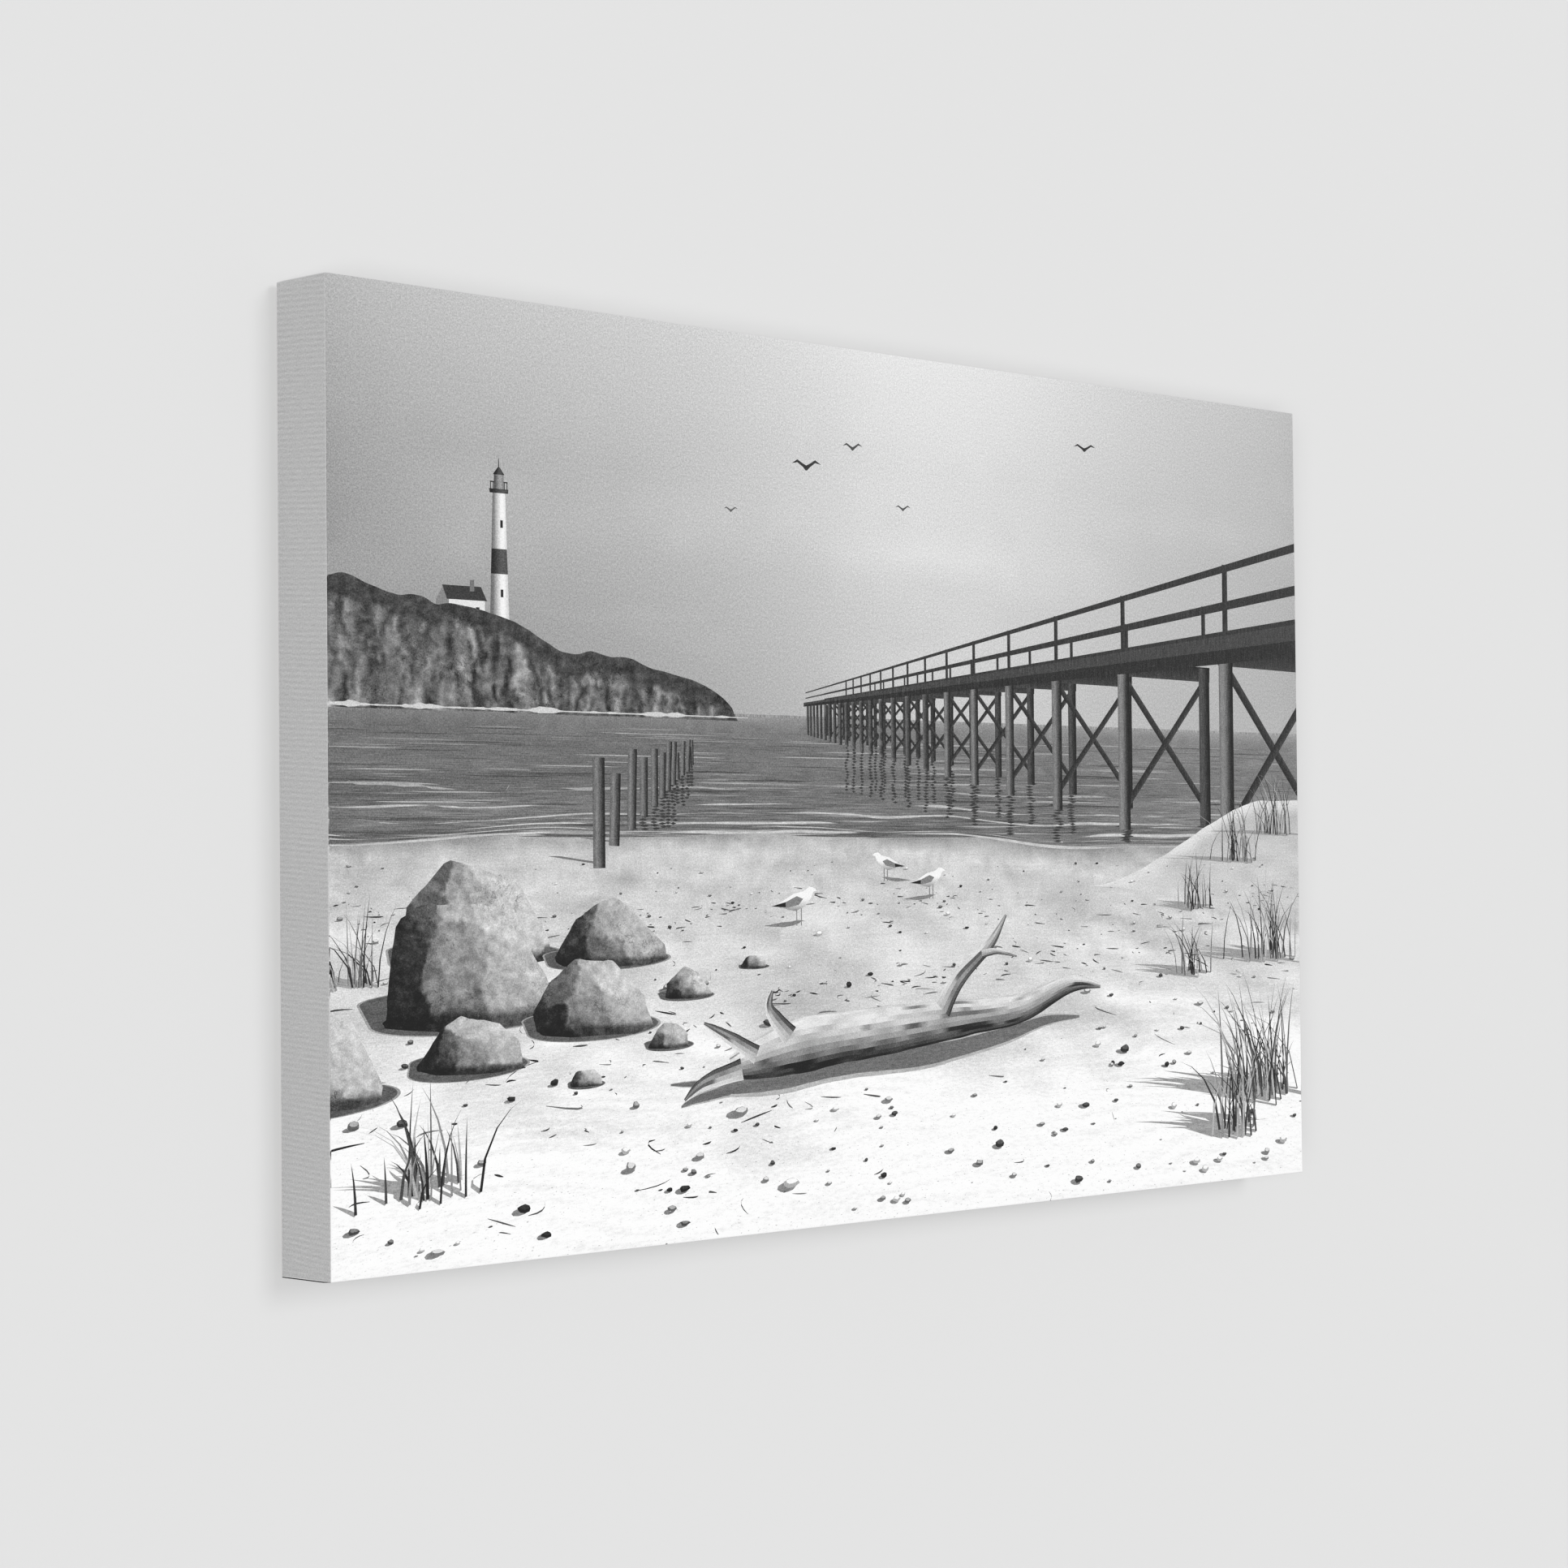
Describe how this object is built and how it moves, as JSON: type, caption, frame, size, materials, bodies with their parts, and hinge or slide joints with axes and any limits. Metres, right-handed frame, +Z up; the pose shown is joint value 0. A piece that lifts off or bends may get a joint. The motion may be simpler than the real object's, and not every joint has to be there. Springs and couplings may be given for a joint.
{
  "type": "stretched canvas print",
  "caption": "Printed cloth stretched round a keyed pine frame with a centre brace, hung on a wall by strap hangers with swinging D rings, with rubber bumpers at its foot.",
  "frame": {"origin": "on the wall, behind the middle of the picture", "axes": "+X along the width to the viewer's right, +Y from the picture into the wall, +Z up"},
  "size_m": [0.8, 0.0453, 0.5],
  "materials": {
    "canvas": "primed cotton canvas, printed in greys on the front, plain light grey at the sides",
    "pine": "planed, bare",
    "key_wood": "sawn beech, bare",
    "steel": "zinc plated",
    "rubber": "matt"
  },
  "bodies": {
    "frame": {"cloth": "canvas", "rail_top": "pine", "rail_bottom": "pine", "stile_left": "pine", "stile_right": "pine", "key_rail_bottom_left": "key_wood", "key_rail_bottom_right": "key_wood", "key_rail_top_left": "key_wood", "key_rail_top_right": "key_wood", "key_stile_bottom_left": "key_wood", "key_stile_bottom_right": "key_wood", "key_stile_top_left": "key_wood", "key_stile_top_right": "key_wood", "brace": "pine", "strap_left": "steel", "strap_right": "steel", "screw_left_1": "steel", "screw_left_2": "steel", "screw_right_1": "steel", "screw_right_2": "steel", "bumper_left": "rubber", "bumper_right": "rubber"},
    "ring_left": {"ring_left": "steel"},
    "ring_right": {"ring_right": "steel"}
  },
  "joints": [
    {"name": "ring_left_swing", "type": "hinge", "parent": "frame", "child": "ring_left", "pos_m": [-0.38, -0.0029, 0.15], "axis": [-1, 0, 0], "range_deg": [0, 180]},
    {"name": "ring_right_swing", "type": "hinge", "parent": "frame", "child": "ring_right", "pos_m": [0.38, -0.0029, 0.15], "axis": [-1, 0, 0], "range_deg": [0, 180]}
  ]
}
